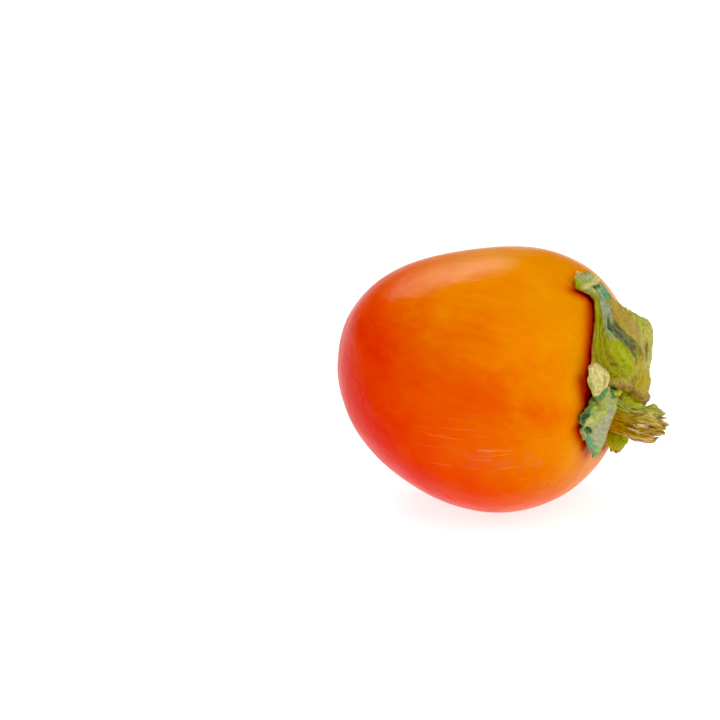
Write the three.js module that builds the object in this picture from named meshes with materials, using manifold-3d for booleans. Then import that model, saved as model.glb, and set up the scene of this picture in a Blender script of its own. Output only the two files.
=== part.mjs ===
// A ripe oblong persimmon lying on its side: one smooth, faintly four-sided berry, the leathery
// calyx that sits in the hollow at its stalk end, with four uneven lobes and a flap folded up between
// two of them, the short woody stub of its stalk, and the dry tip of the style at its blossom end.
// Millimetres, +Z up. The origin is the middle of the small flat spot that the fruit rests on, and
// the stalk end points along +X.
import * as THREE from "three";
import { mergeVertices } from "three/addons/utils/BufferGeometryUtils.js";
import Module from "manifold-3d";

const wasm = await Module();
wasm.setup();

// The berry's driving dimensions. The shares are of its mean radius.
const BODY_RADIUS = 39.9; // mean distance from the middle of the berry to its skin
const OBLONG = 0.052; // how much longer it is than wide
const EGG = 0.0435; // how much fuller its stalk half is than its blossom half
const BARREL = 0.0025; // how blunt its two ends are
const FOUR_SIDED = 0.015; // height of its four blunt ridges
const RIDGE_AZIMUTH = 45; // degrees from +Y to the first ridge
const FULLER_BACK = 0.04; // how much fuller the shoulder is at the back (+Y)
const FULLER_TOP = 0.057; // and at the top (+Z)
const HOLLOW_DEPTH = 6.2; // the hollow that holds the calyx
const HOLLOW_ANGLE = 15; // degrees from the stalk pole by which the hollow has mostly run out
const DIMPLE_DEPTH = 1.3; // the dimple round the style
const DIMPLE_ANGLE = 5.5;
const BODY_RINGS = 42;
const BODY_SPOKES = 56;
const POLE_CROWDING = 0.09; // how much closer the rings stand at the two poles

// How the berry lies
const STALK_DIP = 8; // degrees that the stalk end points below the level
const FLAT_DEPTH = 1; // how deep the resting spot is cut into the round belly
const SURFACE_SIZE = 200; // of the surface that cuts it

// Neighbouring pieces stand this far apart
const GAP = 0.35;

// The calyx's disc: distance from the stalk's axis and height above the skin, from the middle of
// the upper face to the middle of the lower one. It has a flat seat for the stalk, a collar round
// that seat, and a thin brim.
const DISC_SPOKES = 28;
const DISC_PROFILE = [
  [0, 2.2],
  [3, 1.85],
  [5.3, 1.25],
  [5.7, 2.8],
  [6.6, 3],
  [7.8, 2.3],
  [10, 1.6],
  [10.8, 1],
  [10.2, GAP],
  [5.8, GAP],
  [0, GAP],
];

// The calyx's lobes. Each is given at stations, in equal steps from its root to its tip.
// reach: distance of the tip from the stalk's axis, along the skin
// azimuth: degrees from +Y towards +Z of its middle line
// left, right: half widths to either side of that line, left being the side of greater azimuth
// middle, leftEdge, rightEdge: heights above the skin
// round: how far the corners of the tip are drawn back
// wave: height of the crumples
// phase: where its crumples and its uneven margin start
const UPPER_LOBE = {
  reach: 42,
  azimuth: [112, 113, 115, 116, 108, 93, 88, 90],
  left: [6, 9, 9.5, 8, 6, 5.5, 3.2, 4.5],
  right: [6, 9, 9, 8.5, 7.5, 6.5, 3.8, 4.5],
  middle: [1.3, 4.6, 5.4, 4.4, 2.6, 1.6, 1.8, 2],
  leftEdge: [1.3, 2.6, 2.9, 2.2, 1.3, 1, 1, 1],
  rightEdge: [1.3, 5.6, 6, 5, 3, 2, 3, 3],
  round: 2,
  wave: 0.35,
  phase: 0.4,
};
const FRONT_LOBE = {
  reach: 21.5,
  azimuth: [176, 172, 169, 166, 165, 166],
  left: [6.5, 9.5, 9.5, 8, 5.5, 3],
  right: [6, 7.5, 8.5, 9, 9.4, 7],
  middle: [1.3, 4.2, 3.8, 2.8, 1.8, 1.2],
  leftEdge: [1.3, 2.4, 1.8, 1.3, 1, 1],
  rightEdge: [1.3, 4.2, 4.8, 4.4, 2.8, 1.4],
  round: 1,
  wave: 0.35,
  phase: 2.1,
};
const LOWER_LOBE = {
  reach: 16,
  azimuth: [296, 299, 301, 302, 303, 303],
  left: [6, 9, 11, 11.5, 10, 5.5],
  right: [6, 6, 5.5, 4.5, 4, 3],
  middle: [1.3, 3.2, 4, 4.2, 3.8, 3.2],
  leftEdge: [1.3, 2.6, 3.2, 3.4, 3, 2.6],
  rightEdge: [1.3, 2.2, 2.8, 3, 2.6, 2.2],
  round: 2,
  wave: 0.3,
  phase: 3.9,
};
const BACK_LOBE = {
  reach: 31,
  azimuth: [30, 30, 30, 29, 27, 25],
  left: [6, 18, 27.5, 26, 15, 8],
  right: [6, 10.5, 14, 15, 13, 8],
  middle: [1.3, 3.6, 3.2, 4, 5.8, 6.8],
  leftEdge: [1.3, 3, 1.4, 0.9, 0.9, 0.9],
  rightEdge: [1.3, 4.4, 5.6, 4.2, 3.4, 3.4],
  round: 4,
  wave: 0.35,
  phase: 5.2,
};
// A flap of the calyx that is folded up over the sinus between the upper and the front lobe
const FOLDED_FLAP = {
  reach: 27.5,
  azimuth: [142, 141, 140, 136, 132.5],
  left: [4, 3.8, 4.3, 4.7, 2.6],
  right: [4, 3, 2.7, 3, 2.4],
  middle: [1.3, 2.2, 3.9, 5.6, 4.4],
  leftEdge: [1.3, 1.8, 2.6, 3.4, 2.4],
  rightEdge: [1.3, 1.8, 2.8, 4.2, 3],
  round: 2.5,
  wave: 0.2,
  phase: 1.3,
};
const LOBES = [UPPER_LOBE, FRONT_LOBE, LOWER_LOBE, BACK_LOBE, FOLDED_FLAP];
const BLADE_THICKNESS = 1.1;
const MARGIN_THICKNESS = 0.75;
const BLADE_START = 5.9; // distance from the stalk's axis where a lobe's root is sunk into the disc
const BLADE_CLEARANCE = 0.2; // how much further than GAP a crumple stays off the skin
const BLADE_ROWS = 15;
const BLADE_COLUMNS = 10;
// Waves over a lobe: height, and how fast each runs lengthwise and crosswise
const CRUMPLES = [
  [1, 8, 2.2],
  [0.7, 13, -3],
];
const MARGIN_WAVES = [
  [0.05, 11, 2],
  [0.03, 23, -3],
];
const TIP_SCALLOPS = [[0.6, 0, 5]];

// The stalk stub
const STALK_RADIUS = 4.2;
const STALK_LENGTH = 15;
const STALK_SAG = 1.2; // how far its middle hangs below the berry's own axis
const STALK_SPOKES = 36;
const STALK_PLAY = 0.1; // how much further than GAP it stands off its seat
// Shares of the length and of the radius, from the middle of the broken end to that of the base
const STALK_PROFILE = [
  [0.9, 0],
  [0.92, 0.5],
  [1, 0.86],
  [0.973, 1.04],
  [0.88, 1.1],
  [0.76, 1.06],
  [0.62, 0.98],
  [0.46, 0.96],
  [0.3, 1],
  [0.14, 1.04],
  [0.03, 1],
  [0, 0.92],
  [0, 0],
];
const STALK_PITH = 0.6; // share of the radius within which the broken end is smooth
const FRAY_START = 0.75; // share of the length from which the splinters grow
const SPLINTERS = [
  { length: 2.6, count: 2, phase: 2.4 },
  { length: 1.6, count: 7, phase: 2 },
];
const RIDGES = [
  { height: 0.08, count: 5, twist: 0.12, phase: 0 },
  { height: 0.05, count: 11, twist: -0.15, phase: 1 },
];
const KNOB = { height: 2, azimuth: 86, halfAngle: 31, place: 13, halfLength: 3.2 };

// The dry tip of the style, as shares of its length and radius from its point to its base
const STYLE_RADIUS = 1.5;
const STYLE_LENGTH = 2.6;
const STYLE_SPOKES = 12;
const STYLE_RIB = 0.16;
const STYLE_PROFILE = [
  [1, 0],
  [0.8, 0.3],
  [0.4, 0.55],
  [0.12, 0.95],
  [0, 1],
  [0, 0],
];

const radians = THREE.MathUtils.degToRad;
const clamp = THREE.MathUtils.clamp;
const smoothstep = THREE.MathUtils.smoothstep;

function bump(x) {
  return Math.exp(-x * x);
}

function range(count, last) {
  return Array.from({ length: count + 1 }, (_, i) => (last * i) / count);
}

// Distance from the middle of the berry to its skin, at an angle psi from the stalk pole and an
// azimuth phi from +Y towards +Z.
function skinRadius(psi, phi) {
  const across = Math.sin(psi) ** 2;
  const share =
    1 +
    OBLONG * Math.cos(2 * psi) -
    EGG * Math.cos(3 * psi) -
    BARREL * Math.cos(4 * psi) +
    FOUR_SIDED * across * Math.cos(4 * (phi - radians(RIDGE_AZIMUTH))) +
    across * Math.cos(psi) * (FULLER_BACK * Math.cos(phi) + FULLER_TOP * Math.sin(phi));
  const hollow = HOLLOW_DEPTH * bump(psi / radians(HOLLOW_ANGLE));
  const dimple = DIMPLE_DEPTH * bump((Math.PI - psi) / radians(DIMPLE_ANGLE));
  return BODY_RADIUS * share - hollow - dimple;
}

// A point of the berry's own frame, whose +X is the stalk pole, lifted off the skin.
function overSkin(psi, phi, lift) {
  const r = skinRadius(psi, phi) + lift;
  return new THREE.Vector3(
    r * Math.cos(psi),
    r * Math.sin(psi) * Math.cos(phi),
    r * Math.sin(psi) * Math.sin(phi),
  );
}

function indexed(points, faces) {
  return new THREE.BufferGeometry().setFromPoints(points).setIndex(faces);
}

// A closed surface round an axis: stations run from one pole to the other, and pointAt gives the
// point of a station at a turn round the axis.
function closedSurface(stations, spokes, pointAt) {
  const points = [pointAt(stations[0], 0)];
  const inner = stations.slice(1, -1);
  for (const station of inner)
    for (let j = 0; j < spokes; j++) points.push(pointAt(station, (2 * Math.PI * j) / spokes));
  points.push(pointAt(stations.at(-1), 0));
  const at = (i, j) => 1 + i * spokes + (j % spokes);
  const last = points.length - 1;
  const faces = [];
  for (let j = 0; j < spokes; j++) {
    faces.push(0, at(0, j), at(0, j + 1));
    for (let i = 0; i + 1 < inner.length; i++) {
      faces.push(at(i, j), at(i + 1, j), at(i, j + 1));
      faces.push(at(i + 1, j), at(i + 1, j + 1), at(i, j + 1));
    }
    faces.push(at(inner.length - 1, j), last, at(inner.length - 1, j + 1));
  }
  return indexed(points, faces);
}

// A blade: the sheet that middle(u, v) gives, for u from 0 at its root to 1 at its tip and v from
// -1 to 1 across it, thickened to both sides, with a rim round it. Both faces are split alike.
function blade(rows, columns, middle, thickness) {
  const upper = [];
  const lower = [];
  const step = 1e-3;
  for (let i = 0; i <= rows; i++)
    for (let j = 0; j <= columns; j++) {
      const u = i / rows;
      const v = (2 * j) / columns - 1;
      const along = middle(u + step, v).sub(middle(u - step, v));
      const across = middle(u, v + step).sub(middle(u, v - step));
      const normal = along.cross(across).normalize();
      const half = thickness(u, v) / 2;
      upper.push(middle(u, v).addScaledVector(normal, half));
      lower.push(middle(u, v).addScaledVector(normal, -half));
    }
  const width = columns + 1;
  const under = upper.length;
  const faces = [];
  for (let i = 0; i < rows; i++)
    for (let j = 0; j < columns; j++) {
      const a = i * width + j;
      const b = a + width;
      faces.push(a, b, a + 1, b, b + 1, a + 1);
      faces.push(under + a, under + a + 1, under + b, under + b, under + a + 1, under + b + 1);
    }
  const rim = [];
  for (let j = 0; j < columns; j++) rim.push(j);
  for (let i = 0; i < rows; i++) rim.push(i * width + columns);
  for (let j = columns; j > 0; j--) rim.push(rows * width + j);
  for (let i = rows; i > 0; i--) rim.push(i * width);
  rim.forEach((a, k) => {
    const b = rim[(k + 1) % rim.length];
    faces.push(a, b, under + a, b, under + b, under + a);
  });
  return indexed([...upper, ...lower], faces);
}

function solidOf(geometry) {
  const plain = geometry.clone();
  plain.deleteAttribute("normal");
  plain.deleteAttribute("uv");
  const merged = mergeVertices(plain, 1e-4);
  return new wasm.Manifold(
    new wasm.Mesh({
      numProp: 3,
      vertProperties: new Float32Array(merged.attributes.position.array),
      triVerts: new Uint32Array(merged.index.array),
    }),
  );
}

function geometryOf(solid) {
  const mesh = solid.getMesh();
  const geometry = new THREE.BufferGeometry();
  geometry.setAttribute("position", new THREE.BufferAttribute(mesh.vertProperties, 3));
  geometry.setIndex(new THREE.BufferAttribute(mesh.triVerts, 1));
  return geometry.toNonIndexed();
}

function named(name, geometry, look) {
  geometry.computeVertexNormals();
  const mesh = new THREE.Mesh(geometry, new THREE.MeshStandardMaterial({ metalness: 0, ...look }));
  mesh.name = name;
  return mesh;
}

// The rings of the berry, as angles from the stalk pole, closer together at both poles.
function bodyRings() {
  return range(BODY_RINGS, 1).map(
    (t) => Math.PI * (t - POLE_CROWDING * Math.sin(2 * Math.PI * t)),
  );
}

// The lowest point of the berry as it lies in a group.
function lowestPoint(group) {
  const steps = 720;
  const lowest = new THREE.Vector3(0, 0, Infinity);
  for (const psi of range(steps, Math.PI))
    for (const turn of range(steps, Math.PI)) {
      const point = overSkin(psi, Math.PI + turn, 0).applyMatrix4(group.matrixWorld);
      if (point.z < lowest.z) lowest.copy(point);
    }
  return lowest;
}

// The group that holds every piece: it dips the stalk end, and sinks the belly by FLAT_DEPTH.
function lyingGroup() {
  const group = new THREE.Group();
  group.rotation.y = radians(STALK_DIP);
  group.updateMatrixWorld();
  const lowest = lowestPoint(group);
  group.position.set(-lowest.x, -lowest.y, -lowest.z - FLAT_DEPTH);
  group.updateMatrixWorld();
  return group;
}

// The berry, with what is sunk below the surface cut away.
function bodyGeometry(group) {
  const round = closedSurface(bodyRings(), BODY_SPOKES, (psi, phi) => overSkin(psi, phi, 0));
  const ground = new THREE.BoxGeometry(SURFACE_SIZE, SURFACE_SIZE, SURFACE_SIZE);
  ground.translate(0, 0, -SURFACE_SIZE / 2);
  ground.applyMatrix4(group.matrixWorld.clone().invert());
  return geometryOf(solidOf(round).subtract(solidOf(ground)));
}

// The value at a share u of the way through evenly spaced values, on a smooth curve through them.
function through(values, u) {
  const x = clamp(u, 0, 1) * (values.length - 1);
  const i = Math.min(Math.floor(x), values.length - 2);
  const t = x - i;
  const [p1, p2] = [values[i], values[i + 1]];
  const p0 = values[i - 1] ?? p1;
  const p3 = values[i + 2] ?? p2;
  const bend = 2 * p0 - 5 * p1 + 4 * p2 - p3;
  const twist = 3 * p1 - p0 - 3 * p2 + p3;
  return p1 + (t * (p2 - p0 + t * (bend + t * twist))) / 2;
}

function waves(list, u, v, phase) {
  return list.reduce(
    (sum, [height, lengthwise, crosswise], k) =>
      sum + height * Math.sin(lengthwise * u + crosswise * v + (k + 1) * phase),
    0,
  );
}

// Near x where x is well above nothing, and never below nothing.
function softFloor(x) {
  const softness = 0.5;
  return (x + Math.hypot(x, softness)) / 2;
}

// The middle sheet of a lobe.
function lobeSheet(lobe) {
  const floor = GAP + BLADE_THICKNESS / 2 + BLADE_CLEARANCE;
  return (u, v) => {
    const margin = 1 + waves(MARGIN_WAVES, u, v, lobe.phase);
    const side = v * through(v > 0 ? lobe.left : lobe.right, u) * margin;
    const tip = waves(TIP_SCALLOPS, u, v, lobe.phase) - lobe.round * v * v;
    const away = BLADE_START + (lobe.reach - BLADE_START) * u + tip * u ** 3;
    const middle = through(lobe.middle, u);
    const left = through(lobe.leftEdge, u);
    const right = through(lobe.rightEdge, u);
    const level = middle + ((left - right) / 2) * v + ((left + right) / 2 - middle) * v * v;
    const crumple = lobe.wave * smoothstep(u, 0.1, 0.5) * waves(CRUMPLES, u, v, lobe.phase);
    const psi = Math.hypot(away, side) / BODY_RADIUS;
    const phi = radians(through(lobe.azimuth, u)) + Math.atan2(side, away);
    return overSkin(psi, phi, floor + softFloor(level + crumple - floor));
  };
}

// A blade thins towards its margin.
function bladeThickness(u, v) {
  const outward = Math.max(Math.abs(v), clamp(u, 0, 1)) ** 3;
  return THREE.MathUtils.lerp(BLADE_THICKNESS, MARGIN_THICKNESS, outward);
}

// The calyx grew as one piece: its lobes and the folded flap spread from the disc over the shoulder.
function calyxGeometry() {
  const disc = closedSurface(DISC_PROFILE, DISC_SPOKES, ([away, lift], phi) =>
    overSkin(away / BODY_RADIUS, phi, lift),
  );
  const lobes = LOBES.map((lobe) =>
    solidOf(blade(BLADE_ROWS, BLADE_COLUMNS, lobeSheet(lobe), bladeThickness)),
  );
  return geometryOf(lobes.reduce((whole, lobe) => whole.add(lobe), solidOf(disc)));
}

// How far the splinters of the broken end stand out at a turn round the stalk.
function splinter(turn) {
  const shortest = -1;
  return SPLINTERS.reduce(
    (sum, { length, count, phase }) => sum + length * Math.max(0, Math.sin(count * turn + phase)),
    shortest,
  );
}

// The stalk stub: ridged wood with a frayed end, and a knob of bark left on top of it.
function stalkGeometry() {
  return closedSurface(STALK_PROFILE, STALK_SPOKES, ([lengthShare, radiusShare], turn) => {
    const h = lengthShare * STALK_LENGTH;
    const ridge = RIDGES.reduce(
      (sum, { height, count, twist, phase }) =>
        sum + height * Math.cos(count * turn + twist * h + phase),
      1,
    );
    const wall = radiusShare > STALK_PITH ? 1 : 0;
    const knob =
      KNOB.height *
      bump((turn - radians(KNOB.azimuth)) / radians(KNOB.halfAngle)) *
      bump((h - KNOB.place) / KNOB.halfLength);
    const r = STALK_RADIUS * radiusShare * ridge + wall * knob;
    const fray = wall * smoothstep(lengthShare, FRAY_START, 1) * splinter(turn);
    const sag = STALK_SAG * Math.sin(Math.PI * lengthShare);
    return new THREE.Vector3(h + fray, r * Math.cos(turn), r * Math.sin(turn) - sag);
  });
}

function styleGeometry() {
  return closedSurface(STYLE_PROFILE, STYLE_SPOKES, ([lengthShare, radiusShare], turn) => {
    const r = STYLE_RADIUS * radiusShare * (1 + STYLE_RIB * Math.cos(4 * turn));
    return new THREE.Vector3(STYLE_LENGTH * lengthShare, r * Math.cos(turn), r * Math.sin(turn));
  });
}

const persimmon = lyingGroup();

const body = named("fruit_body", bodyGeometry(persimmon), { color: 0xee6a0a, roughness: 0.35 });
const calyx = named("calyx", calyxGeometry(), { color: 0x9a9c45, roughness: 0.7 });

const stalk = named("stalk_stub", stalkGeometry(), { color: 0xb38a3c, roughness: 0.85 });
const seatHeight = DISC_PROFILE[0][1];
stalk.position.set(skinRadius(0, 0) + seatHeight + GAP + STALK_PLAY, 0, 0);

const style = named("style_tip", styleGeometry(), { color: 0x3a2415, roughness: 0.8 });
style.position.set(-skinRadius(Math.PI, 0) - GAP, 0, 0);
style.rotation.z = Math.PI;

persimmon.add(body, calyx, stalk, style);
export default persimmon;
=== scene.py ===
"""A ripe oblong persimmon lying on its side: a smooth orange berry, its dry leathery calyx, the
ridged stub of its stalk and the dark tip of its style.

Shapes are made in millimetres in the berry's own frame, whose +X runs from its middle to the
stalk. psi is the angle from that axis and phi the turn round it, from +Y towards +Z. place() then
lays them down and turns them into metres.
"""

import bpy
import numpy as np
from mathutils import Matrix, Vector, noise


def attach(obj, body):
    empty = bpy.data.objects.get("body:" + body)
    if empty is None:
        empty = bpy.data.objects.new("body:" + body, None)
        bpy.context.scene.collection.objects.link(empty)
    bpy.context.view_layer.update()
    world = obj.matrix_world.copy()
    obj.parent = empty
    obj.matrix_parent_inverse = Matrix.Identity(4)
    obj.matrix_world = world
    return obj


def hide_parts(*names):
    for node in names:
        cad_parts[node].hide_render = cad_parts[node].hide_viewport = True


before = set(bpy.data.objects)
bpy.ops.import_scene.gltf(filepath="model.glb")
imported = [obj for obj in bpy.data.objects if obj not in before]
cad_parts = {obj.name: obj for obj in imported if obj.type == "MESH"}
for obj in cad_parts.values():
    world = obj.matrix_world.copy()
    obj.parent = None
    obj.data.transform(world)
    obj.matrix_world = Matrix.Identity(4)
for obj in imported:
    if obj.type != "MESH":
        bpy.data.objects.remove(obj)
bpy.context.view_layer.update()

MM = 0.001

# The berry
BODY_RADIUS = 39.9
OBLONG = 0.052
EGG = 0.0435
BARREL = 0.0025
FOUR_SIDED = 0.015
RIDGE_AZIMUTH = np.radians(45)
FULLER_BACK = 0.04
FULLER_TOP = 0.057
HOLLOW_DEPTH = 6.2
HOLLOW_ANGLE = np.radians(15)
DIMPLE_DEPTH = 1.3
DIMPLE_ANGLE = np.radians(5.5)
BODY_RINGS = 190
BODY_SPOKES = 240
POLE_CROWDING = 0.09
MARGIN_SAMPLES = 50
STALK_DIP = np.radians(8)
FLAT_DEPTH = 1
GAP = 0.35

# How ripe (0 golden, 1 red) the skin is on its sides, from the calyx to the apex
RIPENESS = [0.12, 0.36, 0.55, 0.65, 0.77, 0.93, 1.1]

# How much the pale streaks low on its side turn round it as they run towards the apex
STREAK_SLANT = 0.2

# The calyx's disc: distance from the stalk's axis and height above the skin
DISC_SPOKES = 150
DISC_RINGS = 60
DISC_PROFILE = [
    (0, 2.2),
    (3, 1.85),
    (5.3, 1.25),
    (5.7, 2.8),
    (6.6, 3),
    (7.8, 2.3),
    (10, 1.6),
    (10.8, 1),
    (10.2, GAP),
    (5.8, GAP),
    (0, GAP),
]

# The calyx's lobes, each at even stations from its root to its tip: the azimuth in degrees, the
# half widths to the left and right, and the heights above the skin in the middle and at the edges
LOBES = {
    "upper": {
        "reach": 42,
        "azimuth": [112, 113, 115, 116, 108, 93, 88, 90],
        "left": [6, 9, 9.5, 8, 6, 5.5, 3.2, 4.5],
        "right": [6, 9, 9, 8.5, 7.5, 6.5, 3.8, 4.5],
        "middle": [1.3, 4.6, 5.4, 4.4, 2.6, 1.6, 1.8, 2],
        "left_edge": [1.3, 2.6, 2.9, 2.2, 1.3, 1, 1, 1],
        "right_edge": [1.3, 5.6, 6, 5, 3, 2, 3, 3],
        "round": 2,
        "wave": 0.35,
        "phase": 0.4,
    },
    "front": {
        "reach": 21.5,
        "azimuth": [176, 172, 169, 166, 165, 166],
        "left": [6.5, 9.5, 9.5, 8, 5.5, 3],
        "right": [6, 7.5, 8.5, 9, 9.4, 7],
        "middle": [1.3, 4.2, 3.8, 2.8, 1.8, 1.2],
        "left_edge": [1.3, 2.4, 1.8, 1.3, 1, 1],
        "right_edge": [1.3, 4.2, 4.8, 4.4, 2.8, 1.4],
        "round": 1,
        "wave": 0.35,
        "phase": 2.1,
    },
    "lower": {
        "reach": 16,
        "azimuth": [296, 299, 301, 302, 303, 303],
        "left": [6, 9, 11, 11.5, 10, 5.5],
        "right": [6, 6, 5.5, 4.5, 4, 3],
        "middle": [1.3, 3.2, 4, 4.2, 3.8, 3.2],
        "left_edge": [1.3, 2.6, 3.2, 3.4, 3, 2.6],
        "right_edge": [1.3, 2.2, 2.8, 3, 2.6, 2.2],
        "round": 2,
        "wave": 0.3,
        "phase": 3.9,
    },
    "back": {
        "reach": 31,
        "azimuth": [30, 30, 30, 29, 27, 25],
        "left": [6, 18, 27.5, 26, 15, 8],
        "right": [6, 10.5, 14, 15, 13, 8],
        "middle": [1.3, 3.6, 3.2, 4, 5.8, 6.8],
        "left_edge": [1.3, 3, 1.4, 0.9, 0.9, 0.9],
        "right_edge": [1.3, 4.4, 5.6, 4.2, 3.4, 3.4],
        "round": 4,
        "wave": 0.35,
        "phase": 5.2,
    },
    "fold": {
        "reach": 27.5,
        "azimuth": [142, 141, 140, 136, 132.5],
        "left": [4, 3.8, 4.3, 4.7, 2.6],
        "right": [4, 3, 2.7, 3, 2.4],
        "middle": [1.3, 2.2, 3.9, 5.6, 4.4],
        "left_edge": [1.3, 1.8, 2.6, 3.4, 2.4],
        "right_edge": [1.3, 1.8, 2.8, 4.2, 3],
        "round": 2.5,
        "wave": 0.2,
        "phase": 1.3,
        "ragged": 0.35,
    },
}
BLADE_THICKNESS = 1.1
MARGIN_THICKNESS = 0.75
MARGIN_ROUNDING = 0.4
BLADE_START = 5.9
BLADE_CLEARANCE = 0.2
BLADE_ROWS = 110
BLADE_COLUMNS = 64
CRUMPLES = [(1, 8, 2.2), (0.7, 13, -3)]
MARGIN_WAVES = [(0.05, 11, 2), (0.03, 23, -3)]
TIP_SCALLOPS = [(0.6, 0, 5)]

# The stalk stub: shares of its length and radius
STALK_RADIUS = 4.2
STALK_LENGTH = 15
STALK_SAG = 1.2
STALK_SPOKES = 180
STALK_RINGS = 150
STALK_PLAY = 0.1
STALK_PROFILE = [
    (0.9, 0),
    (0.92, 0.5),
    (1, 0.86),
    (0.973, 1.04),
    (0.88, 1.1),
    (0.76, 1.06),
    (0.62, 0.98),
    (0.46, 0.96),
    (0.3, 1),
    (0.14, 1.04),
    (0.03, 1),
    (0, 0.92),
    (0, 0),
]
STALK_PITH = 0.6
STRANDS = 26
STRAND_RINGS = 14
STRAND_SPOKES = 8
FRAY_START = 0.75
SPLINTERS = [(2.6, 2, 2.4), (1.6, 7, 2)]
RIDGES = [(0.08, 5, 0.12, 0), (0.05, 11, -0.15, 1)]
KNOB_HEIGHT = 2
KNOB_AZIMUTH = np.radians(86)
KNOB_HALF_ANGLE = np.radians(31)
KNOB_PLACE = 13
KNOB_HALF_LENGTH = 3.2

# The dry tip of the style
STYLE_RADIUS = 1.5
STYLE_LENGTH = 2.6
STYLE_SPOKES = 48
STYLE_RINGS = 40
STYLE_RIB = 0.16
STYLE_PROFILE = [(1, 0), (0.8, 0.3), (0.4, 0.55), (0.12, 0.95), (0, 1), (0, 0)]

# The camera: where it stands, and the pixel of a 720 by 720 picture where the berry's middle is
CAMERA_AZIMUTH = np.radians(24)
CAMERA_ELEVATION = np.radians(22)
CAMERA_DISTANCE = 1.2
PICTURE_SIZE = 720
PIXEL = 0.283 * MM
MIDDLE_PIXEL = (487.3, 374.7)
EXPOSURE = 0.13
BLACK_LEVEL = 0.026


def bump(x):
    return np.exp(-x * x)


def smoothstep(x, low, high):
    t = np.clip((x - low) / (high - low), 0, 1)
    return t * t * (3 - 2 * t)


def through(values, u):
    """The value a share u of the way along evenly spaced values, on a smooth curve."""
    values = np.array(values, float)
    last = len(values) - 1
    x = np.clip(u, 0, 1) * last
    i = np.minimum(x.astype(int), last - 1)
    t = (x - i)[..., None] if values.ndim > 1 else x - i
    p0 = values[np.maximum(i - 1, 0)]
    p1 = values[i]
    p2 = values[i + 1]
    p3 = values[np.minimum(i + 2, last)]
    bend = 2 * p0 - 5 * p1 + 4 * p2 - p3
    twist = 3 * p1 - p0 - 3 * p2 + p3
    return p1 + t * (p2 - p0 + t * (bend + t * twist)) / 2


def rough(points, size, seed, octaves=2):
    """Smooth noise between about -1 and 1, with features of a size, at an array of points."""
    spots = points.reshape(-1, 3) / size + seed * 17.3
    values = [noise.fractal(Vector(spot), 0.9, 2.0, octaves) for spot in spots]
    return np.array(values).reshape(points.shape[:-1])


def skin_radius(psi, phi):
    across = np.sin(psi) ** 2
    fuller = FULLER_BACK * np.cos(phi) + FULLER_TOP * np.sin(phi)
    share = (
        1
        + OBLONG * np.cos(2 * psi)
        - EGG * np.cos(3 * psi)
        - BARREL * np.cos(4 * psi)
        + FOUR_SIDED * across * np.cos(4 * (phi - RIDGE_AZIMUTH))
        + across * np.cos(psi) * fuller
    )
    hollow = HOLLOW_DEPTH * bump(psi / HOLLOW_ANGLE)
    dimple = DIMPLE_DEPTH * bump((np.pi - psi) / DIMPLE_ANGLE)
    return BODY_RADIUS * share - hollow - dimple


def over_skin(psi, phi, lift):
    r = skin_radius(psi, phi) + lift
    x = r * np.cos(psi)
    y = r * np.sin(psi) * np.cos(phi)
    z = r * np.sin(psi) * np.sin(phi)
    return np.stack([x, y, z], -1)


def lie(points):
    """Dips the stalk end."""
    x, y, z = np.moveaxis(points, -1, 0)
    cos = np.cos(STALK_DIP)
    sin = np.sin(STALK_DIP)
    return np.stack([x * cos + z * sin, y, z * cos - x * sin], -1)


def berry_middle():
    """Where the berry's middle is, with its belly sunk by FLAT_DEPTH and its flat spot at 0."""
    steps = np.linspace(0, np.pi, 721)
    psi, turn = np.meshgrid(steps, np.pi + steps)
    belly = lie(over_skin(psi, turn, 0)).reshape(-1, 3)
    lowest = belly[belly[:, 2].argmin()]
    return np.array([-lowest[0], -lowest[1], -lowest[2] - FLAT_DEPTH])


BERRY_MIDDLE = berry_middle()


def place(points):
    return (lie(points) + BERRY_MIDDLE) * MM


def polar_faces(rings, spokes, start=0):
    """Faces of a closed surface: a pole, rings of spokes, and the other pole."""
    faces = []
    last = start + 1 + rings * spokes
    for j in range(spokes):
        k = (j + 1) % spokes
        faces.append((start, start + 1 + j, start + 1 + k))
        end = start + 1 + (rings - 1) * spokes
        faces.append((end + j, last, end + k))
    for i in range(rings - 1):
        a = start + 1 + i * spokes
        b = a + spokes
        for j in range(spokes):
            k = (j + 1) % spokes
            faces.append((a + j, b + j, b + k, a + k))
    return faces


def polar_grid(rings, spokes):
    """Shares from pole to pole and turns, one for each point of a polar surface."""
    share = np.arange(1, rings + 1) / (rings + 1)
    turn = np.arange(spokes) * 2 * np.pi / spokes
    share, turn = np.meshgrid(share, turn, indexing="ij")
    return (
        np.concatenate([[0], share.ravel(), [1]]),
        np.concatenate([[0], turn.ravel(), [0]]),
    )


def add_piece(name, points, faces, node_name, look):
    """Makes a smooth mesh of points already in place, and lets it stand for a CAD node."""
    mesh = bpy.data.meshes.new(name)
    mesh.from_pydata(points.tolist(), [], faces)
    mesh.update()
    mesh.shade_smooth()
    mesh.materials.append(look)
    piece = bpy.data.objects.new(name, mesh)
    bpy.context.scene.collection.objects.link(piece)
    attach(piece, "root")
    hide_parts(node_name)
    return piece


def paint(piece, name, values):
    """Stores a number or a vector for each point, for the piece's material to read."""
    if values.ndim == 1:
        layer = piece.data.attributes.new(name, "FLOAT", "POINT")
        layer.data.foreach_set("value", values.astype(np.float32))
    else:
        layer = piece.data.attributes.new(name, "FLOAT_VECTOR", "POINT")
        layer.data.foreach_set("vector", values.astype(np.float32).ravel())


# Materials


def srgb(code):
    """The linear colour of a hex code."""
    parts = np.array([int(code[i : i + 2], 16) for i in (0, 2, 4)]) / 255
    linear = np.where(parts <= 0.04045, parts / 12.92, ((parts + 0.055) / 1.055) ** 2.4)
    return tuple(linear) + (1.0,)


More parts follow.
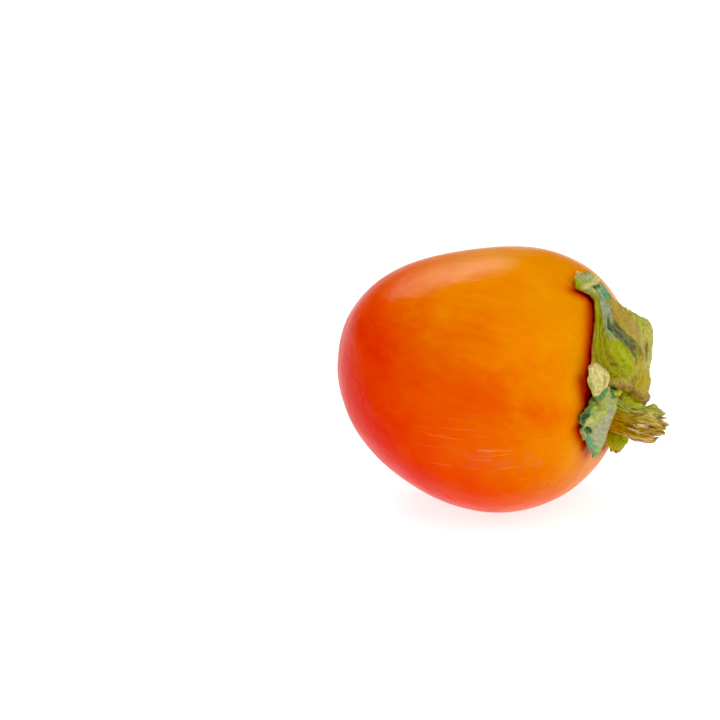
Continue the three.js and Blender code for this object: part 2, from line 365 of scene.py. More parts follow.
class Look:
    """A material and short calls that add nodes to it."""

    def __init__(self, name, roughness, **sockets):
        self.material = bpy.data.materials.new(name)
        self.material.use_nodes = True
        self.tree = self.material.node_tree
        self.shader = self.tree.nodes["Principled BSDF"]
        self.shader.inputs["Roughness"].default_value = roughness
        for socket, value in sockets.items():
            self.shader.inputs[socket.replace("_", " ")].default_value = value

    def add(self, kind, inputs, **settings):
        made = self.tree.nodes.new(kind)
        for key, value in settings.items():
            setattr(made, key, value)
        for key, value in inputs.items():
            if isinstance(value, bpy.types.NodeSocket):
                self.tree.links.new(value, made.inputs[key])
            else:
                made.inputs[key].default_value = value
        return made

    def attribute(self, name, output="Fac"):
        return self.add("ShaderNodeAttribute", {}, attribute_name=name).outputs[output]

    def stretched(self, vector, times, turn=0.0):
        """Coordinates whose pattern is drawn out so many times along X, turned about Y."""
        inputs = {"Vector": vector, "Scale": (times, 1, 1), "Rotation": (0, turn, 0)}
        return self.add("ShaderNodeMapping", inputs, vector_type="TEXTURE").outputs["Vector"]

    def noise(self, vector, scale, detail=3.0, roughness=0.55):
        inputs = {"Vector": vector, "Scale": scale, "Detail": detail, "Roughness": roughness}
        return self.add("ShaderNodeTexNoise", inputs).outputs["Fac"]

    def cells(self, vector, scale, feature="F1", output="Distance"):
        inputs = {"Vector": vector, "Scale": scale}
        return self.add("ShaderNodeTexVoronoi", inputs, feature=feature).outputs[output]

    def band(self, value, low, high, start=0.0, end=1.0):
        inputs = {"Value": value, "From Min": low, "From Max": high, "To Min": start, "To Max": end}
        made = self.add("ShaderNodeMapRange", inputs, interpolation_type="SMOOTHSTEP")
        return made.outputs["Result"]

    def math(self, operation, a, b):
        return self.add("ShaderNodeMath", {0: a, 1: b}, operation=operation).outputs["Value"]

    def mix(self, factor, a, b, blend="MIX"):
        inputs = {0: factor, 6: a, 7: b}
        return self.add("ShaderNodeMix", inputs, data_type="RGBA", blend_type=blend).outputs[2]

    def ramp(self, value, stops):
        made = self.add("ShaderNodeValToRGB", {"Fac": value})
        elements = made.color_ramp.elements
        while len(elements) < len(stops):
            elements.new(0.5)
        for element, (position, colour) in zip(elements, stops):
            element.position = position
            element.color = colour
        return made.outputs["Color"]

    def relief(self, height, distance, below=None):
        inputs = {"Height": height, "Distance": distance}
        if below is not None:
            inputs["Normal"] = below
        return self.add("ShaderNodeBump", inputs).outputs["Normal"]

    def connect(self, **sockets):
        for socket, value in sockets.items():
            self.tree.links.new(value, self.shader.inputs[socket.replace("_", " ")])


def skin_look():
    look = Look(
        "persimmon_skin",
        roughness=0.3,
        IOR=1.42,
        Specular_IOR_Level=0.15,
        Subsurface_Weight=0.12,
        Subsurface_Radius=(1.0, 0.25, 0.06),
        Subsurface_Scale=0.004,
    )
    berry = look.attribute("berry", "Vector")
    ripeness_and_shade = look.attribute("ripeness_and_shade")
    along = look.stretched(berry, 8)
    mottle = look.noise(berry, 0.11, 4.0)
    streak = look.noise(along, 0.55, 3.0)
    wander = look.math("ADD", look.band(mottle, 0.25, 0.75, -0.05, 0.05), look.band(streak, 0.3, 0.7, -0.04, 0.04))
    colour = look.ramp(
        look.math("ADD", ripeness_and_shade, wander),
        [
            (0.0, srgb("e99c0a")),
            (0.25, srgb("e78405")),
            (0.5, srgb("e26203")),
            (0.75, srgb("e04607")),
            (1.0, srgb("d8260a")),
        ],
    )
    lines = look.noise(look.stretched(look.attribute("unrolled", "Vector"), 14), 0.8, 2.0)
    streaked = look.attribute("streaked")
    film = look.math("MULTIPLY", look.band(streak, 0.3, 0.7, 0.02, 0.14), streaked)
    colour = look.mix(film, colour, srgb("f7a880"))
    scratch = look.math("MULTIPLY", look.band(lines, 0.57, 0.72), streaked)
    colour = look.mix(look.math("MULTIPLY", scratch, 0.34), colour, srgb("f7a880"))
    dot = look.band(look.cells(berry, 0.4), 0.05, 0.1, 1.0, 0.0)
    chosen = look.band(look.noise(berry, 0.35, 1.0), 0.52, 0.6)
    colour = look.mix(look.math("MULTIPLY", look.math("MULTIPLY", dot, chosen), 0.3), colour, srgb("ffb070"))
    colour = look.mix(look.attribute("collar"), colour, srgb("c98a1a"))
    # Painted shade: the skin is painted red within millimetres of the calyx's margin, where the lobes shade it.
    colour = look.mix(look.attribute("calyx_margin_shade"), colour, srgb("c02c04"))
    colour = look.mix(look.attribute("scar"), colour, srgb("3a1a08"))
    fine = look.noise(berry, 1.1, 1.0)
    normal = look.relief(look.noise(berry, 0.35, 2.0), 0.00012)
    normal = look.relief(fine, 0.000012, normal)
    look.connect(
        Base_Color=colour,
        Roughness=look.band(look.noise(berry, 0.09, 1.0), 0.3, 0.7, 0.27, 0.34),
        Normal=normal,
    )
    return look.material


def calyx_look():
    look = Look("calyx_leather", roughness=0.7, IOR=1.4, Specular_IOR_Level=0.3)
    sheet = look.attribute("sheet", "Vector")
    tint = look.attribute("tint", "Color")
    vein = look.attribute("vein")
    edge = look.attribute("edge")
    grain = look.noise(sheet, 1.4, 5.0, 0.65)
    net = look.band(look.cells(sheet, 1.1, "DISTANCE_TO_EDGE"), 0.0, 0.12, 1.0, 0.0)
    colour = look.mix(1.0, tint, look.ramp(grain, [(0.3, srgb("b8b6a8")), (0.65, srgb("ffffff"))]), "MULTIPLY")
    colour = look.mix(look.math("MULTIPLY", vein, 0.3), colour, srgb("d6cc6a"))
    colour = look.mix(look.math("MULTIPLY", net, 0.12), colour, srgb("dcd488"))
    dry = look.math("MULTIPLY", edge, look.band(look.noise(sheet, 0.6, 3.0), 0.4, 0.6))
    colour = look.mix(look.math("MULTIPLY", dry, 0.55), colour, srgb("8a6a34"))
    speck = look.math(
        "MULTIPLY",
        look.band(look.cells(sheet, 0.55), 0.08, 0.16, 1.0, 0.0),
        look.band(look.noise(sheet, 0.45, 1.0), 0.56, 0.62),
    )
    colour = look.mix(look.math("MULTIPLY", speck, 0.7), colour, srgb("2f4a2c"))
    normal = look.relief(net, 0.00008)
    normal = look.relief(grain, 0.00018, normal)
    look.connect(
        Base_Color=colour,
        Roughness=look.band(grain, 0.3, 0.7, 0.78, 0.58),
        Normal=normal,
    )
    return look.material


def stalk_look():
    look = Look("stalk_fibre", roughness=0.8)
    fibre = look.attribute("fibre", "Vector")
    tint = look.attribute("tint", "Color")
    lines = look.noise(look.stretched(fibre, 7), 1.7, 5.0, 0.7)
    colour = look.mix(1.0, tint, look.ramp(lines, [(0.3, srgb("6e5a44")), (0.55, srgb("ffffff"))]), "MULTIPLY")
    grain = look.noise(fibre, 2.5, 3.0)
    colour = look.mix(look.band(grain, 0.55, 0.75, 0.0, 0.25), colour, srgb("7a5420"))
    normal = look.relief(lines, 0.0004)
    normal = look.relief(grain, 0.0001, normal)
    look.connect(Base_Color=colour, Roughness=look.band(lines, 0.3, 0.7, 0.9, 0.7), Normal=normal)
    return look.material


def style_look():
    look = Look("style_dry", roughness=0.8)
    berry = look.attribute("berry", "Vector")
    lines = look.noise(look.stretched(berry, 3), 4.0, 4.0, 0.6)
    colour = look.ramp(lines, [(0.3, srgb("140c08")), (0.7, srgb("4a3018"))])
    look.connect(Base_Color=colour, Normal=look.relief(lines, 0.0002))
    return look.material


def floor_look():
    look = Look("pale_floor", roughness=0.6, Emission_Color=(1, 1, 1, 1), Emission_Strength=0.7)
    position = look.add("ShaderNodeTexCoord", {}).outputs["Object"]
    colour = look.ramp(look.noise(position, 3.0, 2.0), [(0.0, srgb("b8b7b5")), (1.0, srgb("bfbebc"))])
    look.connect(Base_Color=colour)
    return look.material


# Pieces


def margin_distance(points):
    """How far along the skin, in millimetres, each point is from the calyx's nearest margin."""
    outward = points / np.linalg.norm(points, axis=1, keepdims=True)
    u = np.linspace(0.15, 1, MARGIN_SAMPLES)
    nearest = np.full(len(points), np.inf)
    for lobe in LOBES.values():
        for side in (-1, 1):
            margin = lobe_sheet(lobe, u, np.full(MARGIN_SAMPLES, float(side)))[0]
            for direction in margin / np.linalg.norm(margin, axis=1, keepdims=True):
                nearest = np.minimum(nearest, np.linalg.norm(outward - direction, axis=1))
    return nearest * BODY_RADIUS


def make_berry():
    share, phi = polar_grid(BODY_RINGS, BODY_SPOKES)
    psi = np.pi * (share - POLE_CROWDING * np.sin(2 * np.pi * share))
    round_points = over_skin(psi, phi, 0)
    stretched = round_points * (0.3, 1, 1)
    dents = 0.16 * rough(round_points, 16, 1) + 0.05 * rough(stretched, 4, 2)
    points = over_skin(psi, phi, dents)
    placed = place(points)
    softness = 0.1 * MM
    placed[:, 2] = (placed[:, 2] + np.hypot(placed[:, 2], softness)) / 2
    piece = add_piece(
        "persimmon_skin", placed, polar_faces(BODY_RINGS, BODY_SPOKES), "fruit_body", skin_look()
    )
    towards_apex = (1 - np.cos(psi)) / 2
    upward = np.sin(psi) * np.sin(phi)
    ripeness_and_shade = through(RIPENESS, towards_apex) - 0.11 * upward**2 - 0.6 * upward * towards_apex
    ripeness_and_shade -= 0.2 * smoothstep(upward, 0.1, 0.6) * (1 - towards_apex) ** 2
    # Painted shade: a redder band beside the front lobe, towards the calyx end, where the lobe shades the skin.
    ripeness_and_shade += 0.1 * bump((phi - np.radians(164)) / np.radians(8)) * (1 - towards_apex)
    # Painted shade: redder low on the belly, near the floor, where the berry lies in its own shade.
    ripeness_and_shade += 0.16 * (1 - smoothstep(placed[:, 2], 6 * MM, 30 * MM))
    ripeness_and_shade += 0.06 * rough(round_points, 14, 3)
    paint(piece, "berry", points)
    paint(piece, "unrolled", np.stack([psi, phi - STREAK_SLANT * psi, 0 * psi], -1) * BODY_RADIUS)
    paint(piece, "ripeness_and_shade", ripeness_and_shade)
    streaked = bump((phi - np.radians(191)) / np.radians(14)) * bump((psi - np.radians(61)) / np.radians(33))
    paint(piece, "streaked", streaked)
    paint(piece, "collar", 0.55 * bump(psi / np.radians(19)) ** 2)
    # Painted shade: red along the calyx's margin, strongest right beside it, for the shade the lobes cast on the
    # skin.
    paint(piece, "calyx_margin_shade", 0.8 * bump(margin_distance(points) / 2.9) ** 2)
    ragged = np.pi - psi + np.radians(1.4) * rough(round_points, 1.6, 4)
    paint(piece, "scar", 0.85 * (1 - smoothstep(ragged, np.radians(2.2), np.radians(4.2))))


def waves(pattern, u, v, phase):
    total = 0
    for k, (height, lengthwise, crosswise) in enumerate(pattern):
        total = total + height * np.sin(lengthwise * u + crosswise * v + (k + 1) * phase)
    return total


def soft_floor(x, softness=0.5):
    return (x + np.hypot(x, softness)) / 2


def lobe_grid():
    t = np.linspace(0, 1, BLADE_ROWS + 1)
    s = np.linspace(-1, 1, BLADE_COLUMNS + 1)
    return np.meshgrid(1 - (1 - t) ** 1.15, s * (1.25 - 0.25 * s * s), indexing="ij")


def lobe_sheet(lobe, u, v):
    """The middle sheet of a lobe, and its flat coordinates away from the stalk and sideways."""
    phase = lobe["phase"]
    along = np.stack([u * lobe["reach"], np.sign(v) * 20 + phase * 9, 0 * u], -1)
    across = np.stack([v * 8, 0 * u + 50 + phase * 9, 0 * u], -1)
    ragged = lobe.get("ragged", 1)
    jag = 0.45 * ragged * rough(along, 1.7, 5, 3) * np.abs(v) ** 5
    tip_jag = 0.6 * ragged * rough(across, 1.6, 6, 3)
    half_width = np.where(v > 0, through(lobe["left"], u), through(lobe["right"], u))
    side = v * half_width * (1 + waves(MARGIN_WAVES, u, v, phase)) + np.sign(v) * jag
    tip = ragged * waves(TIP_SCALLOPS, u, v, phase) - lobe["round"] * v * v + tip_jag * u**6
    away = BLADE_START + (lobe["reach"] - BLADE_START) * u + tip * u**3
    middle = through(lobe["middle"], u)
    left = through(lobe["left_edge"], u)
    right = through(lobe["right_edge"], u)
    level = middle + (left - right) / 2 * v + ((left + right) / 2 - middle) * v * v
    flat = np.stack([away, side, 0 * u + phase * 40], -1)
    fade = smoothstep(u, 0.1, 0.5)
    crumple = fade * lobe["wave"] * waves(CRUMPLES, u, v, phase)
    crumple = crumple + fade * (0.35 * rough(flat, 4.5, 7) + 0.16 * rough(flat * (0.5, 1, 1), 1.6, 8))
    curl = fade * 0.5 * np.maximum(np.abs(v), u) ** 9 * (0.6 + rough(flat, 5, 9))
    floor = GAP + BLADE_THICKNESS / 2 + BLADE_CLEARANCE
    psi = np.hypot(away, side) / BODY_RADIUS
    phi = np.radians(through(lobe["azimuth"], u)) + np.arctan2(side, away)
    lift = floor + soft_floor(level + crumple + curl - floor)
    return over_skin(psi, phi, lift), flat


def vein_field(u, v, flat):
    """Ribs that spread from the root, with finer oblique ones between them, from 0 to 1."""
    spread = 0.3 + 0.7 * smoothstep(u, 0, 0.45)
    wander = 0.05 * rough(flat, 5, 10)
    field = 0 * u
    for centre in (-0.86, -0.57, -0.3, 0, 0.27, 0.58, 0.84):
        field = np.maximum(field, bump((v + wander - centre * spread) / 0.045))
    oblique = flat[..., 0] + 0.9 * np.abs(flat[..., 1]) + 1.2 * rough(flat, 3, 11)
    fine = bump((oblique / 1.9 % 1 - 0.5) / 0.13)
    return np.maximum(field * (1 - 0.5 * u), 0.45 * fine * smoothstep(u, 0.1, 0.3))


PALETTE = {
    "olive": "9a951f",
    "lime": "adb51c",
    "bright_lime": "c8ce36",
    "mustard": "c7ae1c",
    "pale_green": "b6c37c",
    "grey_green": "a8b79a",
    "pale_grey": "bcc4a2",
    "leaf_green": "a0c45c",
    "teal": "62b394",
    "deep_teal": "3a8f62",
    "ochre": "c8a44a",
    "tan": "c4a054",
    "straw": "cac65c",
    "cream": "ecdf98",
    "blush": "c8b096",
    "brown": "986e34",
    "umber": "6a4a1c",
    # The grey of the painted shade in the crease between the upper and back lobes
    "crease_shade": "5f6c5a",
    "dark": "1f4c36",
}

# Strokes of colour on a lobe: its start and its end, each as millimetres from the stalk's axis and
# to the left, then its half width, its colour, its strength and how far it stands out. The later
# ones lie on top.
STROKES = {
    "upper": [
        ((6, 0), (10, 0), 6, "lime", 0.9, 0),
        ((23, -3), (17, -1), 3.4, "lime", 1, 0.9),
        ((25, 2.4), (18, 3), 2.6, "olive", 1, 0),
        ((22, 6), (18, 7), 1.6, "olive", 1, 0),
        ((15, -4.6), (12, -6), 3.2, "mustard", 1, 0),
        ((31.5, -2.4), (27.5, -3.6), 3.4, "grey_green", 1, 0.2),
        ((35.8, -2.6), (32.6, -4.2), 2.1, "teal", 1, 0),
        ((32.6, 4.4), (27, 5), 1.8, "lime", 1, 0),
        ((26, 6.2), (22, 8.2), 1.1, "ochre", 0.9, 0.3),
        ((39, 0), (41.5, 0), 4.4, "pale_green", 1, 0.2),
        ((39.5, 4), (41.5, 3.6), 1.8, "lime", 0.95, 0),
        ((40.4, -1.6), (41, -0.6), 1, "grey_green", 0.8, 0),
        ((37.9, -4), (38.1, 2.2), 0.7, "cream", 1, 0.5),
        ((42.4, -4.4), (42.2, 4), 0.6, "cream", 0.9, 0.1),
        ((36.9, -0.2), (36.4, -1.6), 0.6, "dark", 0.9, -0.3),
        # Painted shade: these dark and grey strokes, sunk into the sheet, paint the shadow in the crease between
        # this lobe and the back lobe.
        ((27, -3), (24.4, -5.1), 1.4, "dark", 0.85, -0.5),
        ((24.4, -5.6), (19, -6.6), 2, "crease_shade", 1, -0.7),
        ((19, -6.6), (15.6, -5.4), 1.2, "crease_shade", 1, -0.5),
        ((28.9, -2.7), (28.6, -2.5), 0.5, "dark", 0.9, -0.2),
        ((21.5, 1.5), (18.5, -0.8), 0.5, "umber", 0.45, -0.3),
        ((18.6, 6), (12.4, 0), 1, "brown", 1, 0.8),
        ((12.4, 0), (10.4, -5), 1, "brown", 1, 0.8),
        # Painted light and shade: the brown rim's top is painted tan where lit, and its lower edge umber where
        # shaded.
        ((18.9, 5.2), (13.2, -0.6), 0.5, "tan", 0.85, 0.2),
        ((17.4, 6.6), (11.4, 0.8), 0.45, "umber", 0.9, -0.3),
        # Painted light: bright lime under the rim, lighter than the leather, so that it looks lit where the rim
        # shades it.
        ((12.6, 5.4), (10, 1.4), 1.8, "bright_lime", 1, 0),
        ((17.2, 6.6), (15.6, 4.4), 0.8, "dark", 0.9, -0.4),
    ],
    "front": [
        ((10, 0), (20, 0), 10, "pale_green", 1, 0),
        ((12, 0), (9, 5), 5, "pale_grey", 1, 0),
        ((9, -2), (8, 6), 2.4, "blush", 0.9, 0),
        ((14.5, 2), (12, 5.5), 1.8, "pale_grey", 0.9, 0.4),
        ((19.4, -4.6), (16.5, -5), 1.5, "leaf_green", 0.95, 0.4),
        ((12.6, -8.4), (17.4, -7.6), 1.4, "deep_teal", 1, -0.2),
        ((21, -3.4), (21.5, 2.4), 1.3, "deep_teal", 0.95, 0),
        ((18.4, -8.6), (20.8, -6), 1.5, "deep_teal", 0.95, 0),
        ((20.6, -6.4), (20.8, -2.6), 0.9, "deep_teal", 0.9, 0),
        ((17.4, -6.8), (19.2, -4), 1.3, "leaf_green", 0.95, 0.4),
        ((15.4, -3), (17.6, -1), 1.2, "bright_lime", 0.5, 0.3),
        ((19.4, -0.4), (18.4, -0.2), 0.9, "cream", 0.6, 0.3),
        ((20.6, -1.4), (20.9, 0), 0.8, "dark", 0.95, -0.2),
        ((18.6, 2.4), (17.2, 3.2), 0.9, "dark", 0.95, -0.3),
        ((17, 5.4), (12, 8.6), 1.3, "teal", 0.9, 0),
        ((12.4, 7.2), (10.8, 7.8), 1.2, "leaf_green", 0.8, 0),
    ],
    "lower": [
        ((8, 0), (14, 0), 9, "mustard", 1, 0),
        ((9, -2.4), (12, -1), 1.8, "lime", 0.9, 0.3),
        ((13, 3), (10, 6), 1.4, "ochre", 0.8, 0),
        ((15.6, -4), (15.4, 8), 0.8, "olive", 0.9, 0),
    ],
    "back": [
        ((20, 0), (20, 14), 12, "straw", 1, 0),
        ((16.5, 25), (18, 17), 4, "ochre", 1, 0.5),
        ((16, 8), (20, 13), 2.4, "tan", 0.8, 0),
        ((24.5, 13), (26, 9), 1.4, "lime", 0.6, 0),
        ((23.6, 18), (20.8, 16.2), 0.35, "bright_lime", 0.8, 0.2),
        ((23.6, 16.6), (20.6, 14.8), 0.3, "umber", 0.5, -0.2),
        ((23.4, 15), (20.6, 13.2), 0.35, "bright_lime", 0.8, 0.2),
        ((23.8, 13), (20.8, 11), 0.3, "umber", 0.5, -0.2),
        ((24, 11), (21.2, 9.2), 0.35, "bright_lime", 0.8, 0.2),
        ((24.4, 8.6), (21.6, 7), 0.3, "umber", 0.5, -0.2),
        ((18.6, 2.4), (21, 4), 2, "tan", 0.8, 0),
        ((19.8, 0.8), (21.4, 2.2), 1.2, "umber", 0.85, -0.3),
        ((12.2, 1), (10, 8), 3, "mustard", 1, 0.5),
        ((13.6, -2), (16.5, -7), 3, "mustard", 1, 0.4),
        ((6, 4), (6, -6), 2.2, "lime", 1, 0),
        ((8.8, 2), (10.6, -5), 1, "brown", 1, 0.8),
        ((10.6, -5), (15.4, -12), 1, "brown", 1, 0.8),
        # Painted light and shade: the brown rim's top is painted tan where lit, and its lower edge umber where
        # shaded.
        ((9.7, 1.8), (11.4, -4.6), 0.5, "tan", 0.85, 0.2),
        ((11.4, -4.6), (16.2, -11.4), 0.5, "tan", 0.85, 0.2),
        ((7.8, 1.4), (9.8, -5.4), 0.45, "umber", 0.9, -0.3),
        ((9.8, -5.4), (14.4, -12.4), 0.45, "umber", 0.9, -0.3),
        # Painted light: bright lime under the rim, lighter than the leather, so that it looks lit where the rim
        # shades it.
        ((7, 2), (7.4, -1), 1.2, "bright_lime", 1, 0),
        ((7.4, -1), (10.4, -9), 1.3, "bright_lime", 1, 0),
        # Painted shade: grey in the crease between this lobe and the upper lobe.
        ((11, 17), (11, 12), 1.6, "crease_shade", 0.9, 0),
    ],
    "fold": [
        ((27.5, 0), (23.4, 0.4), 5, "cream", 1, 0),
        ((23, -1), (22, 1.6), 2, "cream", 1, 0),
        ((25.6, 2.4), (23, 3.4), 0.8, "leaf_green", 0.5, 0),
        ((22.8, -0.6), (21.4, 0.6), 0.5, "tan", 0.6, -0.3),
        # Painted shadow: a dark line, sunk into the sheet, under the fold's cream edge.
        ((19.6, -2.6), (20.4, 4), 1, "deep_teal", 0.95, -0.4),
        ((16.4, -2.6), (17, 4.6), 1.8, "pale_green", 0.9, 0.2),
        ((13, 0), (8, 0), 3.6, "grey_green", 1, 0),
    ],
}


def stroke_weight(away, side, start, end, half_width):
    """How strongly a stroke covers each place of a lobe: fully in its middle, and softly less outwards."""
    run = np.array(end) - start
    along = ((away - start[0]) * run[0] + (side - start[1]) * run[1]) / (run @ run)
    along = np.clip(along, 0, 1)
    distance = np.hypot(away - start[0] - along * run[0], side - start[1] - along * run[1])
    return 1 - smoothstep(distance / half_width, 0.55, 1.3)


def tinted(base, strokes, flat):
    """Colours and heights of a sheet: a base colour, with soft ragged strokes mixed over it."""
    colours = np.ones(flat.shape) * srgb(PALETTE[base])[:3]
    heights = 0 * flat[..., 0]
    away = flat[..., 0] + 0.5 * rough(flat, 2.2, 12, 3)
    side = flat[..., 1] + 0.5 * rough(flat, 2.2, 13, 3)
    for start, end, half_width, name, strength, height in strokes:
        weight = stroke_weight(away, side, start, end, half_width)
        heights += height * weight
        weight = strength * weight[..., None]
        colours += weight * (np.array(srgb(PALETTE[name])[:3]) - colours)
    return colours, heights


def blade_faces(rows, columns, start):
    """Quads of the upper and lower faces of a blade, and of the rim between them."""
    width = columns + 1
    under = (rows + 1) * width
    faces = []
    for i in range(rows):
        for j in range(columns):
            a = start + i * width + j
            b = a + width
            faces.append((a, b, b + 1, a + 1))
            faces.append((under + a, under + a + 1, under + b + 1, under + b))
    rim = [start + j for j in range(columns)]
    rim += [start + i * width + columns for i in range(rows)]
    rim += [start + rows * width + j for j in range(columns, 0, -1)]
    rim += [start + i * width for i in range(rows, 0, -1)]
    for a, b in zip(rim, rim[1:] + rim[:1]):
        faces.append((a, b, under + b, under + a))
    return faces


def make_lobe(name, lobe):
    """Points of both faces of a lobe, with their colour, sheet, vein and edge values."""
    u, v = lobe_grid()
    middle, flat = lobe_sheet(lobe, u, v)
    normal = np.cross(np.gradient(middle, axis=0), np.gradient(middle, axis=1))
    normal /= np.linalg.norm(normal, axis=-1, keepdims=True)
    half_width = np.where(v > 0, through(lobe["left"], u), through(lobe["right"], u))
    inset = np.minimum((1 - np.abs(v)) * half_width, (1 - u) * lobe["reach"])
    outward = np.maximum(np.abs(v), u) ** 3
    thickness = BLADE_THICKNESS + (MARGIN_THICKNESS - BLADE_THICKNESS) * outward
    near = 1 - np.clip(inset / MARGIN_ROUNDING, 0, 1)
    half = thickness / 2 * np.sqrt(np.maximum(1 - near * near, 0.08))
    veins = vein_field(u, v, flat)
    colours, heights = tinted("olive", STROKES[name], flat)
    relief = heights + 0.22 * veins + 0.1 * rough(flat, 0.9, 14, 3)
    relief = relief * np.clip(inset / 0.6, 0, 1)
    upper = middle + normal * (half + relief)[..., None]
    lower = middle - normal * half[..., None]
    inner = colours * 0.4 + np.array(srgb(PALETTE["brown"])[:3]) * 0.6
    edge = 1 - smoothstep(inset, 0.2, 1.6)
    return {
        "points": np.concatenate([upper.reshape(-1, 3), lower.reshape(-1, 3)]),
        "tint": np.concatenate([colours.reshape(-1, 3), inner.reshape(-1, 3)]),
        "sheet": np.concatenate([flat.reshape(-1, 3)] * 2),
        "vein": np.concatenate([veins.ravel(), 0 * veins.ravel()]),
        "edge": np.concatenate([edge.ravel()] * 2),
    }


def make_disc():
    share, phi = polar_grid(DISC_RINGS, DISC_SPOKES)
    profile = through(DISC_PROFILE, share)
    away = profile[:, 0]
    flat = np.stack([away * np.cos(phi), away * np.sin(phi), 0 * phi + 300], -1)
    ribs = 0.12 * np.cos(24 * phi + 2 * rough(flat, 4, 15)) * smoothstep(away, 5.6, 8)
    bumps = 0.1 * rough(flat, 1.1, 16, 3)
    upper_side = smoothstep(profile[:, 1], GAP, GAP + 0.5)
    seat = smoothstep(away, 5.3, 5.8)
    lift = np.maximum(profile[:, 1] + (ribs + bumps) * upper_side * seat, GAP)
    colour = np.array(srgb(PALETTE["olive"])[:3]) * 0.7 + np.array(srgb(PALETTE["brown"])[:3]) * 0.3
    return {
        "points": over_skin(away / BODY_RADIUS, phi, lift),
        "tint": np.ones((len(phi), 3)) * colour,
        "sheet": flat,
        "vein": 0 * phi,
        "edge": 0 * phi,
    }


def make_calyx():
    parts = [make_lobe(name, lobe) for name, lobe in LOBES.items()]
    faces = []
    start = 0
    for part in parts:
        faces += blade_faces(BLADE_ROWS, BLADE_COLUMNS, start)
        start += len(part["points"])
    parts.append(make_disc())
    faces += polar_faces(DISC_RINGS, DISC_SPOKES, start)
    points = place(np.concatenate([part["points"] for part in parts]))
    piece = add_piece("calyx_leather", points, faces, "calyx", calyx_look())
    for layer in ("tint", "sheet", "vein", "edge"):
        paint(piece, layer, np.concatenate([part[layer] for part in parts]))


def stalk_base():
    return skin_radius(0, 0) + DISC_PROFILE[0][1] + GAP + STALK_PLAY


def stalk_sag(share):
    return STALK_SAG * np.sin(np.pi * share)


def scatter(k, step):
    """An even spread of shares between 0 and 1, for the k-th of many."""
    return (k * step + 0.37) % 1


def strand(k):
    """Points of a frayed fibre that leaves the stalk's side and ends in a fine tip, with its colours."""
    share, turn = polar_grid(STRAND_RINGS, STRAND_SPOKES)
    start = 6 + 5 * scatter(k, 0.618)
    length = STALK_LENGTH + 0.6 + 1.6 * scatter(k, 0.445) - start
    place_round = 2 * np.pi * scatter(k, 1 / STRANDS) + 0.5 * share * np.sin(3 * k)
    h = start + length * share
    out = 3.9 + 0.5 * np.sin(np.pi * np.clip(share * 1.2, 0, 1)) + 0.5 * share**2 * np.sin(5 * k + 1)
    thick = (0.24 + 0.26 * scatter(k, 0.271)) * np.sqrt(np.clip(share * 4, 0, 1)) * (1 - share**3)
    middle_y = out * np.cos(place_round) + 0.15 * np.sin(9 * share + k)
    middle_z = out * np.sin(place_round) - stalk_sag(h / STALK_LENGTH)
    points = np.stack(
        [stalk_base() + h, middle_y + thick * np.cos(turn), middle_z + 1.3 * thick * np.sin(turn)], -1
    )
    pale = np.array(srgb("ecd698")[:3]) * (0.62 + 0.38 * scatter(k, 0.733))
    dark_tip = smoothstep(share, 0.84, 0.96)[:, None] * (k % 3 > 0)
    return points, pale + dark_tip * (np.array(srgb("46564a")[:3]) - pale)


def make_stalk():
    share, turn = polar_grid(STALK_RINGS, STALK_SPOKES)
    profile = through(STALK_PROFILE, share)
    length_share = profile[:, 0]
    radius_share = profile[:, 1]
    h = length_share * STALK_LENGTH
    ring = np.stack([h * 0.12, 5 * np.cos(turn), 5 * np.sin(turn)], -1)
    ridge = 1
    for height, count, twist, phase in RIDGES:
        ridge = ridge + height * np.cos(count * turn + twist * h + phase)
    ridge = ridge + 0.07 * rough(ring, 1.2, 17, 3)
    wall = smoothstep(radius_share, STALK_PITH, STALK_PITH + 0.2)
    knob = KNOB_HEIGHT * bump((turn - KNOB_AZIMUTH) / KNOB_HALF_ANGLE)
    knob = knob * bump((h - KNOB_PLACE) / KNOB_HALF_LENGTH)
    r = STALK_RADIUS * radius_share * ridge + wall * knob
    splinter = -1
    for length, count, phase in SPLINTERS:
        splinter = splinter + length * np.maximum(0, np.sin(count * turn + phase))
    splinter = splinter + 1.1 * rough(ring * (0, 1, 1), 0.7, 18, 3)
    fray = smoothstep(length_share, FRAY_START, 1) * splinter * wall
    x = stalk_base() + h + fray
    points = np.stack([x, r * np.cos(turn), r * np.sin(turn) - stalk_sag(length_share)], -1)
    points[:, 0] += 0.25 * (1 - wall) * rough(points, 0.8, 19, 3) * (length_share > 0.5)
    green = bump((turn - KNOB_AZIMUTH) / (1.3 * KNOB_HALF_ANGLE))
    worn = smoothstep(rough(ring * (0.4, 1, 1), 1.1, 21, 3) + 0.9 * length_share, 0.55, 1.1)
    colours = np.ones((len(h), 3)) * srgb("c08f26")[:3]
    colours += 0.75 * worn[:, None] * (np.array(srgb("e6cf86")[:3]) - colours)
    colours += green[:, None] * (np.array(srgb("c8d268")[:3]) - colours)
    faces = polar_faces(STALK_RINGS, STALK_SPOKES)
    for k in range(STRANDS):
        strand_points, strand_colours = strand(k)
        faces += polar_faces(STRAND_RINGS, STRAND_SPOKES, len(points))
        points = np.concatenate([points, strand_points])
        colours = np.concatenate([colours, strand_colours])
    piece = add_piece("stalk_fibre", place(points), faces, "stalk_stub", stalk_look())
    paint(piece, "tint", colours)
    paint(piece, "fibre", points)


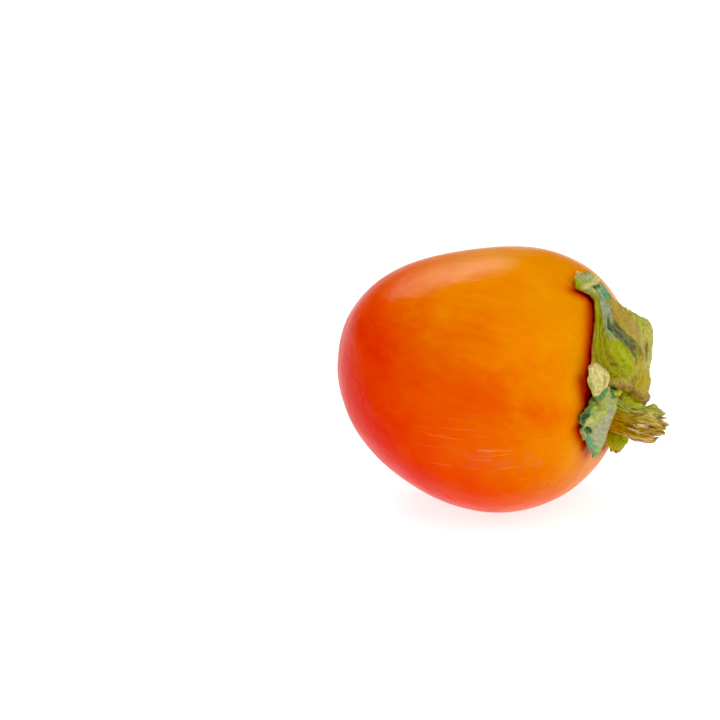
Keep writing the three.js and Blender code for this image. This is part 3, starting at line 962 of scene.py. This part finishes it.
def make_style():
    share, turn = polar_grid(STYLE_RINGS, STYLE_SPOKES)
    profile = through(STYLE_PROFILE, share)
    ring = np.stack([profile[:, 0] * 1.5, np.cos(turn), np.sin(turn)], -1)
    r = STYLE_RADIUS * profile[:, 1] * (1 + STYLE_RIB * np.cos(4 * turn) + 0.12 * rough(ring, 0.5, 20, 3))
    x = -skin_radius(np.pi, 0) - GAP - STYLE_LENGTH * profile[:, 0]
    points = np.stack([x, -r * np.cos(turn), r * np.sin(turn)], -1)
    piece = add_piece(
        "style_dry", place(points), polar_faces(STYLE_RINGS, STYLE_SPOKES), "style_tip", style_look()
    )
    paint(piece, "berry", points)


def make_floor():
    half = 3
    mesh = bpy.data.meshes.new("floor")
    corners = [(-half, -half, 0), (half, -half, 0), (half, half, 0), (-half, half, 0)]
    mesh.from_pydata(corners, [], [(0, 1, 2, 3)])
    mesh.materials.append(floor_look())
    floor = bpy.data.objects.new("floor", mesh)
    bpy.context.scene.collection.objects.link(floor)


def view_axes():
    """The camera's right, up and back."""
    a = CAMERA_AZIMUTH
    e = CAMERA_ELEVATION
    right = np.array([np.cos(a), np.sin(a), 0])
    up = np.array([-np.sin(a) * np.sin(e), np.cos(a) * np.sin(e), np.cos(e)])
    back = np.array([np.sin(a) * np.cos(e), -np.cos(a) * np.cos(e), np.sin(e)])
    return right, up, back


def make_camera():
    right, up, back = view_axes()
    half = PICTURE_SIZE / 2
    across = (MIDDLE_PIXEL[0] - half) * PIXEL
    down = (MIDDLE_PIXEL[1] - half) * PIXEL
    aim = BERRY_MIDDLE * MM - across * right + down * up
    data = bpy.data.cameras.new("camera")
    data.sensor_width = 36
    data.lens = data.sensor_width * CAMERA_DISTANCE / (PICTURE_SIZE * PIXEL)
    camera = bpy.data.objects.new("camera", data)
    turned = Matrix(np.array([right, up, back]).T.tolist()).to_4x4()
    camera.matrix_world = Matrix.Translation(aim + back * CAMERA_DISTANCE) @ turned
    bpy.context.scene.collection.objects.link(camera)
    bpy.context.scene.camera = camera


def add_softbox(name, direction, distance, size, power, colour=(1, 1, 1)):
    """An area light that faces the berry from a direction. Its width runs level."""
    data = bpy.data.lights.new(name, "AREA")
    data.shape = "RECTANGLE"
    data.size, data.size_y = size
    data.energy = power
    data.color = colour
    light = bpy.data.objects.new(name, data)
    away = Vector(direction).normalized()
    light.location = Vector(BERRY_MIDDLE * MM) + away * distance
    light.rotation_euler = away.to_track_quat("Z", "Y").to_euler()
    bpy.context.scene.collection.objects.link(light)


def make_lights():
    add_softbox("strip_above", (-0.6, 0.56, 0.6), 0.9, (0.62, 0.3), 2.3)
    add_softbox("key_right", (0.85, -0.35, 1.35), 1.3, (1.6, 1.6), 13)
    add_softbox("fill_front", (-0.8, -1.0, 0.6), 1.4, (1.8, 1.8), 7)
    world = bpy.data.worlds.new("studio")
    world.use_nodes = True
    world.node_tree.nodes["Background"].inputs["Color"].default_value = (1, 1, 1, 1)
    world.node_tree.nodes["Background"].inputs["Strength"].default_value = 0.26
    bpy.context.scene.world = world
    settings = bpy.context.scene.view_settings
    settings.view_transform = "Standard"
    settings.exposure = EXPOSURE
    settings.use_curve_mapping = True
    settings.curve_mapping.black_level = (BLACK_LEVEL,) * 3


make_camera()
make_lights()
make_floor()
make_berry()
make_calyx()
make_stalk()
make_style()
